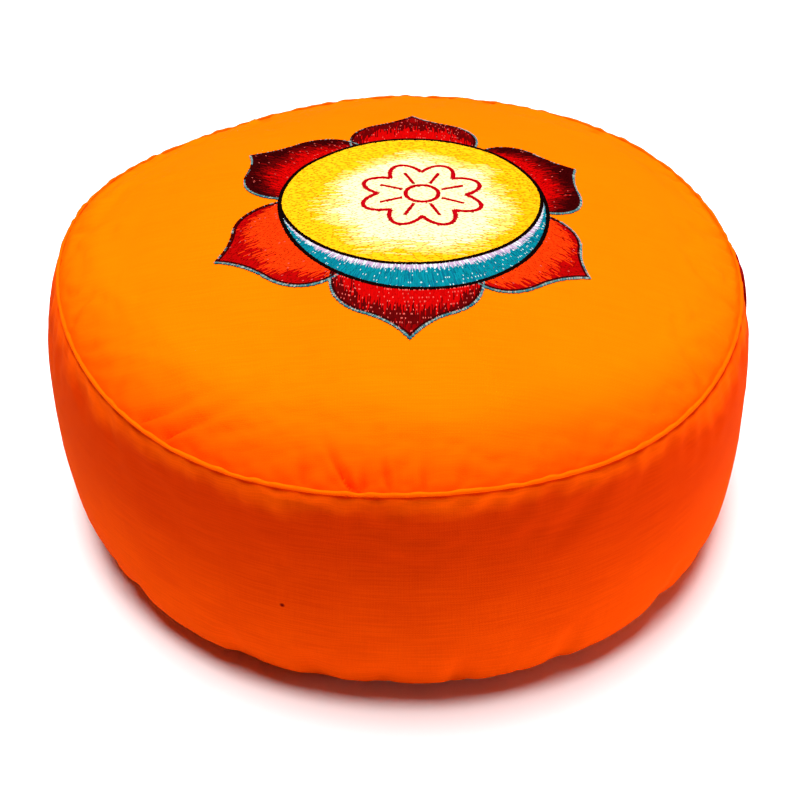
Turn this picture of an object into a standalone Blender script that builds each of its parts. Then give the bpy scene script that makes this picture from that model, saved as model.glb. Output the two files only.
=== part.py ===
"""Round meditation cushion: a filled drum of cotton with a crowned top panel, a bulging side band that
draws in to a flat base, a narrow welt in the top seam and a flat carry strap on its right side.

Metres, +Z up, standing on z = 0 with the front towards -Y. The origin is the middle of the base.
"""

import math

import bmesh
import bpy
import numpy as np

# The drum
SEAM_RADIUS = 0.162
SEAM_HEIGHT = 0.128
CROWN_RISE = 0.0325
CROWN_POWER = 2.5
BULGE_RADIUS = 0.1665
BULGE_HEIGHT = 0.071
BAND_TOP_POWER = 2.9
BASE_RADIUS = 0.1265
BASE_ROLL_POWER = 3.3

# The seams
WELT_RADIUS = 0.00095
WELT_SIDES = 6
SEAM_NOTCH_RADIUS = 0.00135
SEAM_NOTCH_FROM_DEG = 153.0
SEAM_NOTCH_TO_DEG = 260.0
SEAM_NOTCH_STEPS = 3
BASE_SEAM_RADIUS = 0.150
BASE_SEAM_DEPTH = 0.0014
BASE_SEAM_HALF_WIDTH = 0.0018
BASE_SEAM_LEAN = 0.3

# The carry strap
STRAP_AZIMUTH_DEG = 95.0
STRAP_WIDTH = 0.025
STRAP_THICKNESS = 0.0018
STRAP_GAP = 0.00045
STRAP_TOP_CLEARANCE = 0.0032
STRAP_FOOT_RADIUS = 0.1535
STRAP_COLUMNS = 4
STRAP_ROWS = 15

# How fine the faces are
AROUND = 120
CROWN_SHARES = (0.13, 0.27, 0.40, 0.52, 0.63, 0.73, 0.81, 0.88, 0.93, 0.965)
BAND_TOP_SHARES = (0.04, 0.10, 0.19, 0.31, 0.46, 0.63, 0.81, 1.0)
ROLL_ANGLES_DEG = (74, 60, 48, 38, 30)
BASE_INNER_SHARE = 0.30

# Slow unevenness of a hand-sewn drum. Azimuths run from the front (-Y) towards +X, in degrees.
# Each row: waves per turn, the azimuth where the wave is highest, its height in metres.
SEAM_RISE_WAVES = (
    (1, -100.5, 0.0043),
    (2, -5.5, 0.0013),
    (3, 27.5, 0.0021),
    (4, 10.0, 0.0004),
    (6, 9.5, 0.0006),
)
SEAM_OUT_WAVES = (
    (1, 36.0, 0.0003),
    (2, -14.0, 0.0040),
    (3, 12.5, 0.0022),
    (4, -38.0, 0.0003),
    (5, 34.0, 0.0007),
    (6, 24.5, 0.0003),
)
BULGE_OUT_WAVES = ((1, -117.0, 0.0031), (2, 68.0, 0.0033))
BULGE_SHARE_OF_SEAM = 0.3

# Puckers where the top panel is eased on to the band.
# azimuth at the seam, lean towards +X on the way in (degrees), depth, half width, reach inwards (metres)
PUCKERS = (
    (-60.0, 3.0, 0.0012, 0.0050, 0.016),
    (-45.0, -4.0, 0.0016, 0.0045, 0.020),
    (-36.0, 3.0, 0.0014, 0.0045, 0.022),
    (-24.0, 2.0, 0.0012, 0.0045, 0.018),
    (-14.0, -3.0, 0.0018, 0.0045, 0.022),
    (-6.0, -6.0, 0.0026, 0.0050, 0.034),
    (-1.0, -2.0, 0.0018, 0.0040, 0.020),
    (4.5, 1.0, 0.0020, 0.0045, 0.022),
    (10.0, 2.0, 0.0014, 0.0045, 0.018),
    (24.0, 3.0, 0.0010, 0.0050, 0.016),
    (52.0, 4.0, 0.0014, 0.0055, 0.020),
    (78.0, 2.0, 0.0012, 0.0050, 0.018),
    (118.0, 3.0, 0.0012, 0.0050, 0.018),
    (141.0, -2.0, 0.0014, 0.0050, 0.018),
    (163.0, 2.0, 0.0014, 0.0050, 0.018),
    (-174.0, -2.0, 0.0014, 0.0050, 0.018),
    (-152.0, 3.0, 0.0014, 0.0050, 0.018),
    (-129.0, -2.0, 0.0012, 0.0050, 0.018),
    (-96.0, 2.0, 0.0012, 0.0050, 0.018),
)

# Each pucker widens by this share of itself over its reach.
PUCKER_SPREAD = 0.6

# Puckers where the band is eased on to the base: azimuth, depth, half width (degrees, metres).
# The first is the broad draw-in of the front edge.
BASE_PUCKERS = (
    (-4.0, 0.0024, 0.0500),
    (-27.0, 0.0014, 0.0080),
    (-14.0, 0.0018, 0.0070),
    (-3.0, 0.0016, 0.0080),
    (9.0, 0.0014, 0.0070),
    (25.0, 0.0016, 0.0080),
    (47.0, 0.0012, 0.0090),
    (-49.0, 0.0014, 0.0080),
    (-78.0, 0.0012, 0.0090),
    (128.0, 0.0014, 0.0090),
    (155.0, 0.0014, 0.0080),
    (-171.0, 0.0014, 0.0090),
    (-147.0, 0.0014, 0.0080),
    (-118.0, 0.0012, 0.0090),
)
BASE_PUCKER_HEIGHT = 0.016
BASE_PUCKER_REACH = 0.014

# Materials: colour and roughness
ORANGE_COTTON = ((0.95, 0.20, 0.004, 1.0), 0.85)
ORANGE_WELT = ((0.90, 0.17, 0.004, 1.0), 0.85)
DARK_RED_WEBBING = ((0.19, 0.003, 0.006, 1.0), 0.80)
SHARP_EDGE_DEG = 50.0


def clear_scene():
    for thing in list(bpy.data.objects):
        bpy.data.objects.remove(thing, do_unlink=True)


def cloth_material(name, finish):
    colour, roughness = finish
    material = bpy.data.materials.new(name)
    material.use_nodes = True
    shader = material.node_tree.nodes["Principled BSDF"]
    shader.inputs["Base Color"].default_value = colour
    shader.inputs["Roughness"].default_value = roughness
    shader.inputs["Metallic"].default_value = 0.0
    return material


def in_space(azimuth, radius, height):
    """The point at an azimuth (radians, from the front towards +X), a radius and a height."""
    return (radius * math.sin(azimuth), -radius * math.cos(azimuth), height)


def waves_at(waves, azimuth):
    """The sum of a table's waves at an azimuth."""
    total = 0.0
    for count, highest_at, height in waves:
        total += height * math.cos(count * (azimuth - math.radians(highest_at)))
    return total


def turn_between(azimuth, other):
    """The signed angle from another azimuth, within half a turn."""
    return math.remainder(azimuth - other, 2 * math.pi)


def bell(distance, half_width):
    """1 at no distance, falling smoothly to nothing past twice the half width."""
    return math.exp(-((distance / half_width) ** 2))


def seam_centre(azimuth):
    """Radius and height of the top seam."""
    radius = SEAM_RADIUS + waves_at(SEAM_OUT_WAVES, azimuth)
    return radius, SEAM_HEIGHT + waves_at(SEAM_RISE_WAVES, azimuth)


def bulge_radius(azimuth):
    """Radius of the band at its fullest."""
    seam_out = waves_at(SEAM_OUT_WAVES, azimuth)
    return BULGE_RADIUS + waves_at(BULGE_OUT_WAVES, azimuth) + BULGE_SHARE_OF_SEAM * seam_out


def top_pucker(azimuth, radius, inward):
    """How far the top panel dips at a point this far in from the seam."""
    dip = 0.0
    for at, lean, depth, half_width, reach in PUCKERS:
        along = inward / reach
        line = math.radians(at + lean * along)
        across = turn_between(azimuth, line) * radius
        dip += depth * bell(across, half_width * (1.0 + PUCKER_SPREAD * along)) * bell(inward, reach)
    return dip


def crown_point(azimuth, share):
    """A point of the top panel, at a share of the way from its middle to the seam."""
    seam_radius, seam_height = seam_centre(azimuth)
    radius = seam_radius * share
    height = SEAM_HEIGHT + CROWN_RISE * (1.0 - share ** CROWN_POWER)
    height += (seam_height - SEAM_HEIGHT) * share ** 2
    return radius, height - top_pucker(azimuth, radius, seam_radius - radius)


def band_top_point(azimuth, share):
    """A point of the band between the seam (share 0) and the fullest bulge (share 1)."""
    seam_radius, seam_height = seam_centre(azimuth)
    bulge = bulge_radius(azimuth)
    radius = bulge + (seam_radius - bulge) * (1.0 - share) ** BAND_TOP_POWER
    return radius, seam_height + (BULGE_HEIGHT - seam_height) * share


def base_pucker(azimuth, height):
    """How far the lower band is drawn in."""
    dip = 0.0
    for at, depth, half_width in BASE_PUCKERS:
        across = turn_between(azimuth, math.radians(at)) * BULGE_RADIUS
        dip += depth * bell(across, half_width)
    return dip * bell(height - BASE_PUCKER_HEIGHT, BASE_PUCKER_REACH)


def roll_height(radius_share):
    """Height of the lower band where it is this share of the way out from the base to the bulge."""
    return BULGE_HEIGHT * (1.0 - (1.0 - radius_share ** BASE_ROLL_POWER) ** (1.0 / BASE_ROLL_POWER))


def roll_point(azimuth, radius_share):
    """A point of the band below the bulge, at a share of the way out from the flat base."""
    height = roll_height(radius_share)
    uneven = (bulge_radius(azimuth) - BULGE_RADIUS) * math.sin(math.pi / 2 * height / BULGE_HEIGHT)
    radius = BASE_RADIUS + (BULGE_RADIUS - BASE_RADIUS) * radius_share + uneven
    return radius - base_pucker(azimuth, height), height


def notch_point(azimuth, angle_deg):
    """A point of the notch that the welt lies in, at an angle round the seam's centre."""
    seam_radius, seam_height = seam_centre(azimuth)
    angle = math.radians(angle_deg)
    reach = SEAM_NOTCH_RADIUS
    return seam_radius + reach * math.cos(angle), seam_height + reach * math.sin(angle)


def base_seam_point(azimuth, side, depth):
    """A point of the shallow groove of the base seam, at a side (-1 to 1) and a depth into the cloth."""
    radius = BASE_SEAM_RADIUS + side * BASE_SEAM_HALF_WIDTH
    share = (radius - BASE_RADIUS) / (BULGE_RADIUS - BASE_RADIUS)
    out, height = roll_point(azimuth, share)
    return out - BASE_SEAM_LEAN * depth, height + depth


def cushion_rings():
    """Each ring is a function of the azimuth that gives a radius and a height, from the top down."""
    rings = [lambda a, s=share: crown_point(a, s) for share in CROWN_SHARES]
    for step in range(SEAM_NOTCH_STEPS + 1):
        turn = SEAM_NOTCH_TO_DEG - SEAM_NOTCH_FROM_DEG
        angle = SEAM_NOTCH_FROM_DEG + turn * step / SEAM_NOTCH_STEPS
        rings.append(lambda a, g=angle: notch_point(a, g))
    rings += [lambda a, s=share: band_top_point(a, s) for share in BAND_TOP_SHARES]
    for angle in ROLL_ANGLES_DEG:
        share = math.sin(math.radians(angle)) ** (2.0 / BASE_ROLL_POWER)
        rings.append(lambda a, s=share: roll_point(a, s))
    rings.append(lambda a: base_seam_point(a, 1.0, 0.0))
    rings.append(lambda a: base_seam_point(a, 0.0, BASE_SEAM_DEPTH))
    rings.append(lambda a: base_seam_point(a, -1.0, 0.0))
    rings.append(lambda a: (BASE_RADIUS, 0.0))
    rings.append(lambda a: (BASE_RADIUS * BASE_INNER_SHARE, 0.0))
    return rings


def add_object(name, shape, material):
    """An object from a bmesh, with its faces turned outwards and shaded smooth."""
    bmesh.ops.recalc_face_normals(shape, faces=shape.faces)
    mesh = bpy.data.meshes.new(name)
    shape.to_mesh(mesh)
    shape.free()
    mesh.materials.append(material)
    mesh.shade_smooth()
    made = bpy.data.objects.new(name, mesh)
    bpy.context.scene.collection.objects.link(made)
    return made


def skin_rings(shape, rings, closed):
    """Quads between neighbouring rings of vertices, and from the last ring to the first if closed."""
    pairs = list(zip(rings, rings[1:]))
    if closed:
        pairs.append((rings[-1], rings[0]))
    for ring, other in pairs:
        for index in range(len(ring)):
            after = (index + 1) % len(ring)
            shape.faces.new((ring[index], ring[after], other[after], other[index]))


def fan(shape, centre, ring):
    """Triangles from a middle point to each side of a ring."""
    middle = shape.verts.new(centre)
    for index in range(len(ring)):
        shape.faces.new((middle, ring[index], ring[(index + 1) % len(ring)]))


def build_cushion(material):
    azimuths = np.linspace(0.0, 2 * math.pi, AROUND, endpoint=False)
    shape = bmesh.new()
    rings = []
    for ring_at in cushion_rings():
        rings.append([shape.verts.new(in_space(a, *ring_at(a))) for a in azimuths])
    skin_rings(shape, rings, closed=False)
    fan(shape, (0.0, 0.0, SEAM_HEIGHT + CROWN_RISE), rings[0])
    fan(shape, (0.0, 0.0, 0.0), rings[-1])
    return add_object("cushion", shape, material)


def build_welt(material):
    shape = bmesh.new()
    rings = []
    for azimuth in np.linspace(0.0, 2 * math.pi, AROUND, endpoint=False):
        seam_radius, seam_height = seam_centre(azimuth)
        ring = []
        for angle in np.linspace(0.0, 2 * math.pi, WELT_SIDES, endpoint=False):
            radius = seam_radius + WELT_RADIUS * math.cos(angle)
            height = seam_height + WELT_RADIUS * math.sin(angle)
            ring.append(shape.verts.new(in_space(azimuth, radius, height)))
        rings.append(ring)
    skin_rings(shape, rings, closed=True)
    return add_object("seam_welt", shape, material)


def strap_path():
    """Points down the band at the strap, as functions of the azimuth."""
    foot_share = (STRAP_FOOT_RADIUS - BASE_RADIUS) / (BULGE_RADIUS - BASE_RADIUS)
    top_share = STRAP_TOP_CLEARANCE / (SEAM_HEIGHT - BULGE_HEIGHT)
    upper = STRAP_ROWS // 2
    path = []
    for share in np.linspace(top_share, 1.0, upper):
        path.append(lambda a, s=share: band_top_point(a, s))
    from_deg = math.degrees(math.asin(foot_share ** (BASE_ROLL_POWER / 2.0)))
    for angle in np.linspace(90.0, from_deg, STRAP_ROWS - upper + 1)[1:]:
        share = math.sin(math.radians(angle)) ** (2.0 / BASE_ROLL_POWER)
        path.append(lambda a, s=share: roll_point(a, s))
    return path


def strap_row(azimuth, path, row, offset):
    """A point of the strap, held this far off the band along the band's outward direction."""
    radius, height = path[row](azimuth)
    above = path[max(row - 1, 0)](azimuth)
    below = path[min(row + 1, len(path) - 1)](azimuth)
    run = (below[0] - above[0], below[1] - above[1])
    length = math.hypot(*run)
    return radius - run[1] / length * offset, height + run[0] / length * offset


def build_strap(material):
    centre = math.radians(STRAP_AZIMUTH_DEG)
    half_turn = STRAP_WIDTH / 2 / BULGE_RADIUS
    azimuths = np.linspace(centre - half_turn, centre + half_turn, STRAP_COLUMNS)
    path = strap_path()
    shape = bmesh.new()
    rings = []
    for row in range(len(path)):
        inner = [in_space(a, *strap_row(a, path, row, STRAP_GAP)) for a in azimuths]
        outer = [in_space(a, *strap_row(a, path, row, STRAP_GAP + STRAP_THICKNESS)) for a in azimuths]
        rings.append([shape.verts.new(point) for point in inner + outer[::-1]])
    skin_rings(shape, rings, closed=False)
    for ring in (rings[0], rings[-1]):
        for index in range(STRAP_COLUMNS - 1):
            opposite = 2 * STRAP_COLUMNS - 1 - index
            shape.faces.new((ring[index], ring[index + 1], ring[opposite - 1], ring[opposite]))
    strap = add_object("carry_strap", shape, material)
    strap.data.set_sharp_from_angle(angle=math.radians(SHARP_EDGE_DEG))
    return strap


clear_scene()
build_cushion(cloth_material("orange_cotton", ORANGE_COTTON))
build_welt(cloth_material("orange_welt", ORANGE_WELT))
build_strap(cloth_material("dark_red_webbing", DARK_RED_WEBBING))
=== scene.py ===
"""Looks of the round meditation cushion: its cover, welt, strap and stitched lotus, with light and camera."""

import math

import bpy
import numpy as np
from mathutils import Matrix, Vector
from mathutils.bvhtree import BVHTree


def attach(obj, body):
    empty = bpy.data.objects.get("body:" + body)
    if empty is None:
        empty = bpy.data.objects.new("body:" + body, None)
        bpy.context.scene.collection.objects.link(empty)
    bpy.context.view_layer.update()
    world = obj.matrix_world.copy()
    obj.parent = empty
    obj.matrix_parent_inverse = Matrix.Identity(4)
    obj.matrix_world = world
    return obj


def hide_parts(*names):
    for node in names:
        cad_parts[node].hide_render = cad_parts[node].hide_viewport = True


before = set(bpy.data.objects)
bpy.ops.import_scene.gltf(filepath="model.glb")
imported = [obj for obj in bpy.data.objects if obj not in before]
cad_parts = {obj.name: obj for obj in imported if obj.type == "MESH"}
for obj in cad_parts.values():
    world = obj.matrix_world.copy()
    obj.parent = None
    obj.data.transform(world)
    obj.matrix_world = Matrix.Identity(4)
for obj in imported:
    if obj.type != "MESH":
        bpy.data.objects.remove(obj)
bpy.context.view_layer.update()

# The drum, in metres and degrees. Azimuths run from the front (-Y) towards +X.
SEAM_RADIUS = 0.162
SEAM_HEIGHT = 0.128
CROWN_RISE = 0.0325
CROWN_POWER = 2.5
BULGE_RADIUS = 0.1665
BULGE_HEIGHT = 0.071
BAND_TOP_POWER = 2.9
BASE_RADIUS = 0.1265
BASE_ROLL_POWER = 3.3
BASE_SEAM_RADIUS = 0.150
BASE_SEAM_DEPTH = 0.0014
BASE_SEAM_HALF_WIDTH = 0.0018
BASE_SEAM_LEAN = 0.3

# Waves per turn, azimuth of the highest point, height.
SEAM_RISE_WAVES = (
    (1, -100.5, 0.0043),
    (2, -5.5, 0.0013),
    (3, 27.5, 0.0021),
    (4, 10.0, 0.0004),
    (6, 9.5, 0.0006),
)
SEAM_OUT_WAVES = (
    (1, 36.0, 0.0003),
    (2, -14.0, 0.0040),
    (3, 12.5, 0.0022),
    (4, -38.0, 0.0003),
    (5, 34.0, 0.0007),
    (6, 24.5, 0.0003),
)
BULGE_OUT_WAVES = ((1, -117.0, 0.0031), (2, 68.0, 0.0033))
BULGE_SHARE_OF_SEAM = 0.3

# Puckers of the top panel: azimuth at the seam, lean on the way in, depth, half width, reach inwards.
PUCKERS = (
    (-76.0, 2.0, 0.0008, 0.0036, 0.010),
    (-67.0, -3.0, 0.0010, 0.0030, 0.010),
    (-61.0, 3.0, 0.0014, 0.0028, 0.012),
    (-55.0, 2.0, 0.0008, 0.0032, 0.012),
    (-47.0, -2.0, 0.0010, 0.0030, 0.012),
    (-41.5, 5.0, 0.0021, 0.0024, 0.017),
    (-36.5, 6.0, 0.0023, 0.0024, 0.019),
    (-31.0, 3.0, 0.0009, 0.0030, 0.013),
    (-22.0, -2.0, 0.0008, 0.0034, 0.012),
    (-13.0, -2.0, 0.0018, 0.0022, 0.014),
    (-9.5, -4.0, 0.0006, 0.0036, 0.026),
    (-6.4, -4.0, 0.0032, 0.0013, 0.014),
    (-5.2, 0.0, 0.0022, 0.0011, 0.008),
    (-1.6, -2.0, 0.0019, 0.0015, 0.017),
    (2.6, 1.0, 0.0016, 0.0017, 0.018),
    (7.2, 2.0, 0.0014, 0.0015, 0.012),
    (13.5, 1.0, 0.0007, 0.0034, 0.011),
    (24.0, 3.0, 0.0007, 0.0040, 0.012),
    (37.0, -2.0, 0.0007, 0.0036, 0.012),
    (52.0, 4.0, 0.0012, 0.0034, 0.014),
    (63.0, -2.0, 0.0008, 0.0036, 0.012),
    (78.0, 2.0, 0.0012, 0.0036, 0.014),
    (101.0, -2.0, 0.0010, 0.0038, 0.014),
    (118.0, 3.0, 0.0012, 0.0036, 0.016),
    (141.0, -2.0, 0.0014, 0.0038, 0.016),
    (163.0, 2.0, 0.0014, 0.0038, 0.016),
    (-174.0, -2.0, 0.0014, 0.0038, 0.016),
    (-152.0, 3.0, 0.0014, 0.0038, 0.016),
    (-129.0, -2.0, 0.0012, 0.0038, 0.016),
    (-96.0, 2.0, 0.0012, 0.0038, 0.016),
)
PUCKER_SEWN = 0.0022
PUCKER_SPREAD = 0.6
# The cloth rises on both sides of a pucker: share of its depth, place in half widths.
PUCKER_BANKS = ((0.45, 1.8), (0.25, -1.9))

# Puckers of the lower band: azimuth, depth, half width.
BASE_PUCKERS = (
    (-4.0, 0.0024, 0.0500),
    (-27.0, 0.0014, 0.0080),
    (-14.0, 0.0018, 0.0070),
    (-3.0, 0.0016, 0.0080),
    (9.0, 0.0014, 0.0070),
    (25.0, 0.0016, 0.0080),
    (47.0, 0.0012, 0.0090),
    (-49.0, 0.0014, 0.0080),
    (-78.0, 0.0012, 0.0090),
    (128.0, 0.0014, 0.0090),
    (155.0, 0.0014, 0.0080),
    (-171.0, 0.0014, 0.0090),
    (-147.0, 0.0014, 0.0080),
    (-118.0, 0.0012, 0.0090),
)
BASE_PUCKER_HEIGHT = 0.016
BASE_PUCKER_REACH = 0.014

# The cloth
WEAVE_PITCH = 0.00062
THREAD_DRIFT = 0.0015
ACROSS_DRIFT_SCALE = 55.0
UP_DRIFT_SCALE = 75.0
# Painted shade on the crown: its orange deepens towards the rim at the front, less at the sides and not at
# the back. A stretch, a centre, and the distances where the shade starts and is full.
CROWN_SHADE_STRETCH = (1.06, 1.0, 0.0)
CROWN_SHADE_CENTRE = (0.003, 0.030, 0.0)
CROWN_SHADE_FROM = 0.151
CROWN_SHADE_TO = 0.201
# Painted light and shade on the band, by distance below the seam: lit just under it, darkest about 17 mm
# down, and lighter again towards the foot, with blotchy edges from noise.
BAND_SHADE_DROP = 0.017
BAND_FOOT_DROP = 0.118
BAND_PATCHES = 0.026
PATCH_SCALE = 42.0
MOTTLE = 0.30
MOTTLE_SCALE = 22.0
# The crown's orange is lighter and yellower than the band's, as painted light from above, and deepens by the
# rim as painted shade.
CROWN_ORANGE = (0.90, 0.132, 0.0001)
CROWN_RIM_SHADE_ORANGE = (0.90, 0.042, 0.0001)
# The band: painted light just under the seam, lighter towards the foot as painted light from the floor, and
# painted shade between.
BAND_LIT_ORANGE = (0.98, 0.096, 0.0001)
BAND_ORANGE = (0.88, 0.071, 0.0001)
BAND_SHADE_ORANGE = (0.64, 0.033, 0.0001)
# The welt's lighter orange: painted light along the ridge of the seam.
WELT_LIT_ORANGE = (0.92, 0.086, 0.0003)
FLECK_PLACE = (-0.0499, -0.1559, 0.0597)
FLECK_RADIUS = 0.0015
FLECK_CORE = 0.3
FLECK_COLOUR = (0.13, 0.002, 0.001)
# Painted shade in the puckers, beside the seam and in a line under the welt.
FOLD_SHADE_TINT = (0.70, 0.26, 0.3)
NO_TINT = (1.0, 1.0, 1.0)
# Painted shade between the threads of the weave.
WEAVE_GAP_SHADE = (0.90, 0.84, 0.8)
THIN_YARN_BAND = (0.93, 0.86, 0.85)
THIN_YARN_PANEL = (0.97, 0.94, 0.93)
# Thicker stretches of yarn, for each way of the cloth: scale along and across the thread, weight.
SLUBS = ((40.0, 1400.0, 0.80), (1400.0, 40.0, 0.20))
SLUB_RANGE = (0.38, 0.62)
NAP = 0.6
NAP_SCALE = 900.0
COTTON_ROUGHNESS = 0.9
COTTON_SHEEN_TINT = (1.0, 0.22, 0.0, 1.0)
SHEEN = 0.10
SHEEN_ROUGHNESS = 0.35
SPECULAR = 0.005
# Strength and depth of each bump
COTTON_BUMP = (0.30, 0.00018)
STRAP_BUMP = (0.6, 0.0003)
THREAD_BUMP = (0.35, 0.00012)

# The cover's mesh
AROUND = 480
SEAM_TUCK = 0.0007
SEAM_TUCK_WIDTH = 0.0015
TUCK_ON_TOP = 0.5
# Painted shade: the pucker depth at which it is full, the line beside the seam, and the painted shadow line
# under the welt.
CREASE_SHADE_DEPTH = 0.0022
SEAM_LINE_SHADE = 0.35
SEAM_LINE_SHADE_AWAY = 0.0012
SEAM_LINE_SHADE_HALF = 0.0010
WELT_SHADOW_DROP = 0.0025
WELT_SHADOW_HALF = 0.0007
RIPPLE_COUNTS = range(52, 118, 3)
RIPPLE_DEPTH = 0.00011
RIPPLE_REACH = 0.009
RIPPLE_SEWN = 0.002
RIPPLE_ON_BAND = 0.22
RIPPLE_BAND_TURN = 0.02
RIPPLE_AT_FOOT = 0.15
RIPPLE_FOOT_TURN = 0.5
BAND_DENTS = 52
BAND_DENT_DEPTH = 0.0008
DENT_HALF_WIDTHS = (0.006, 0.019)
DENT_HALF_HEIGHTS = (0.003, 0.008)
DENT_DROPS = (0.007, 0.034)
DENT_SHARES = (-0.5, 1.0)
FRONT_CROWDING = 0.5
FRONT_CROWDING_DEG = -10.0
SOFTNESS = 0.00035
SOFT_COUNTS = (4, 5, 7, 9, 11, 14)
SOFT_RUNS = (20, 60)
SEED = 7

# The rings of the cover, each span as its first, its last and their count. The panel's are distances in
# from the seam, the band's are shares of the way down to the bulge, the roll's are angles in degrees.
TOP_SPANS = ((0.1500, 0.064, 20), (0.060, 0.0320, 11), (0.0300, 0.0050, 15))
TOP_AT_SEAM = (0.0038, 0.0028, 0.0019, 0.0011, 0.0004)
BAND_AT_SEAM = (0.006, 0.016, 0.027, 0.033, 0.040, 0.050, 0.062, 0.078)
BAND_SPANS = ((0.10, 0.26, 6), (0.30, 1.0, 16))
ROLL_SPAN = (85.0, 30.0, 22)
BASE_SEAM_GROOVE = ((1.0, 0.0), (0.35, 0.7), (0.0, 1.0), (-0.35, 0.7), (-1.0, 0.0))
BASE_RADII = (0.136, BASE_RADIUS, 0.118, 0.10, 0.07, 0.04, 0.012)

# The welt: its fineness, half thickness, unevenness, and how far out of the seam and up it sits
WELT_AROUND = 1080
WELT_SIDES = 10
WELT_GIRTH = 0.00088
WELT_COUNTS = range(20, 150, 9)
WELT_UNEVEN = 0.03
WELT_OUT = 0.0002
WELT_WANDER = 0.00006

# How the cloth is left to settle between its sewn edges
CLOTH_STEPS = 20
CLOTH_SETTINGS = {
    "quality": 5,
    "mass": 0.15,
    "bending_stiffness": 0.05,
    "tension_stiffness": 25.0,
    "compression_stiffness": 25.0,
    "shear_stiffness": 8.0,
    "air_damping": 4.0,
    "use_pressure": True,
    "uniform_pressure_force": 4.0,
    "vertex_group_mass": "sewn",
    "pin_stiffness": 5.0,
    "shrink_min": -0.02,
}
CLOTH_CAP = 0.0014
CLOTH_AROUND = 180
CLOTH_RING_STEP = 2
CLOTH_SLOWEST = 6
CLOTH_SEWN_REACH = 0.0035
CLOTH_TOP_REACH = 0.030
CLOTH_MOTIF_REACH = 0.088
CLOTH_FOOT_REACH = 0.006
CLOTH_STRAP_REACH = 0.12
CLOTH_TOP_LEAST = 0.35
CLOTH_ON_BAND = 0.65

# The carry strap
STRAP_AZIMUTH_DEG = 95.0
STRAP_WIDTH = 0.025
STRAP_THICKNESS = 0.0018
STRAP_GAP = 0.00045
STRAP_TOP_CLEARANCE = 0.0032
STRAP_FOOT_RADIUS = 0.1535
STRAP_RIB_PITCH = 0.0017
STRAP_UPPER_ROWS = 130
STRAP_LOWER_ROWS = 150
STRAP_COLUMNS = 15
STRAP_EDGE_POWER = 8
# Shares of the thickness: at the very edge, further in, and in the ribs.
STRAP_LAYERS = (0.55, 0.38, 0.07)
STRAP_UNDER_EDGE = 0.25
STRAP_RED = (0.27, 0.0015, 0.002)
STRAP_SHEEN_TINT = (0.8, 0.02, 0.02, 1.0)
STRAP_ROUGHNESS = 0.85
STRAP_THIN_YARN = 0.6
STRAP_SLUB_RANGE = (0.35, 0.65)
STRAP_WEAVE_PITCH = 0.0011

# The stitched motif on the crown, in plan. Angles run from +X towards +Y.
MOTIF_CENTRE = (0.0040, -0.0010)
MOTIF_REACH = 0.110
STITCH_PITCH = 0.00045
STITCH_WIDTH = 0.00054
STITCH_LENGTH = 0.0046
STITCH_HEIGHT = 0.00018
# Along a stitch: share of its run, height in stitch heights. Its ends are narrow and sink into the cloth.
STITCH_STATIONS = ((0.0, -0.9), (0.14, 0.85), (0.86, 0.85), (1.0, -0.9))
STITCH_END_WIDTH = 0.6
STITCH_ROUND = 0.55
CUT_UNEVEN = 0.12
CUT_LEAST = 0.0006
GLINT_LENGTH = 0.0009
GLINT_WIDTH = 0.00032
GLINT_ROW = 0.0024
GLINT_UNEVEN = 0.12
# How many of the petals' stitches glint: in front of the disc, behind it, and elsewhere.
GLINT_SHARES = (0.30, 0.12, 0.035)
GLINT_FRONT_HALF = 0.037
CRESCENT_GLINT_SHARE = 0.16
HEIGHT_STEPS = 181
UNDERLAY_LIFT = 0.00022
FILL_LIFT = 0.00035
LINE_LIFT = FILL_LIFT + 0.00012
GLINT_LIFT = FILL_LIFT + 0.00016
OUTLINE_LIFT = 0.00060
DISC_RADIUS = 0.0610
DISC_DEPTH = 0.0695
YELLOW_RADIUS = 0.0601
CRESCENT_BACK = 0.0100
CRESCENT_WIDE = 0.0605
CRESCENT_DEEP = 0.0620
CRESCENT_TILT_DEG = 8.8
CRESCENT_FROM_DEG = -186.0
CRESCENT_TO_DEG = 6.0
CRESCENT_INSET = 0.0006
CRESCENT_LEAST = 0.0010
CRESCENT_STITCH = 0.0052
TEAL_SHARE = 0.72
# The pale threads along the yellow: share of the crescent's depth, the most, how raggedly, and how many.
PALE_DEPTH_SHARE = 0.36
PALE_DEPTH_MOST = 0.0036
PALE_RAGGED = (0.5, 1.25)
LAVENDER_SHARE = 0.75
OUTLINE_WIDTH = 0.0020
CUT_LINE_WIDTH = 0.9
OUTLINE_SLANT = 0.3

# The disc's threads, by how far out they lie from the middle of the pale part
DISC_PALE_MIDDLE = (0.002, -0.001)
DISC_PALE_RADII = (0.046, 0.048)
DISC_UNEVEN = 0.05
CREAM_TO = 0.78
LEMON_TO = 0.93
GOLD_SHARE = 0.16
GOLD_TO_RIGHT = 6.0
DISC_STITCH = 1.3

# A plain stitched flower in the disc's middle
ROSETTE_CENTRE = (0.004, 0.004)
ROSETTE_RADIUS = 0.0200
ROSETTE_WAVE = 0.0085
ROSETTE_LOBES = 8
ROSETTE_RING = 0.0075
ROSETTE_LINE = 0.0022
ROSETTE_RAY = 0.8
ROSETTE_SLANT = 0.25

# Each petal: the angle and length of its tip, how wide it is towards a higher and a lower angle, its threads.
PETALS = (
    (-91.0, 0.0975, 0.94, 1.06, "front"),
    (-33.0, 0.0905, 0.82, 1.20, "low_side"),
    (28.5, 0.0890, 0.88, 1.10, "high_side"),
    (90.0, 0.0950, 0.94, 0.97, "front"),
    (146.0, 0.0955, 1.04, 1.00, "high_side"),
    (206.5, 0.0960, 1.20, 0.84, "low_side"),
)
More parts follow.
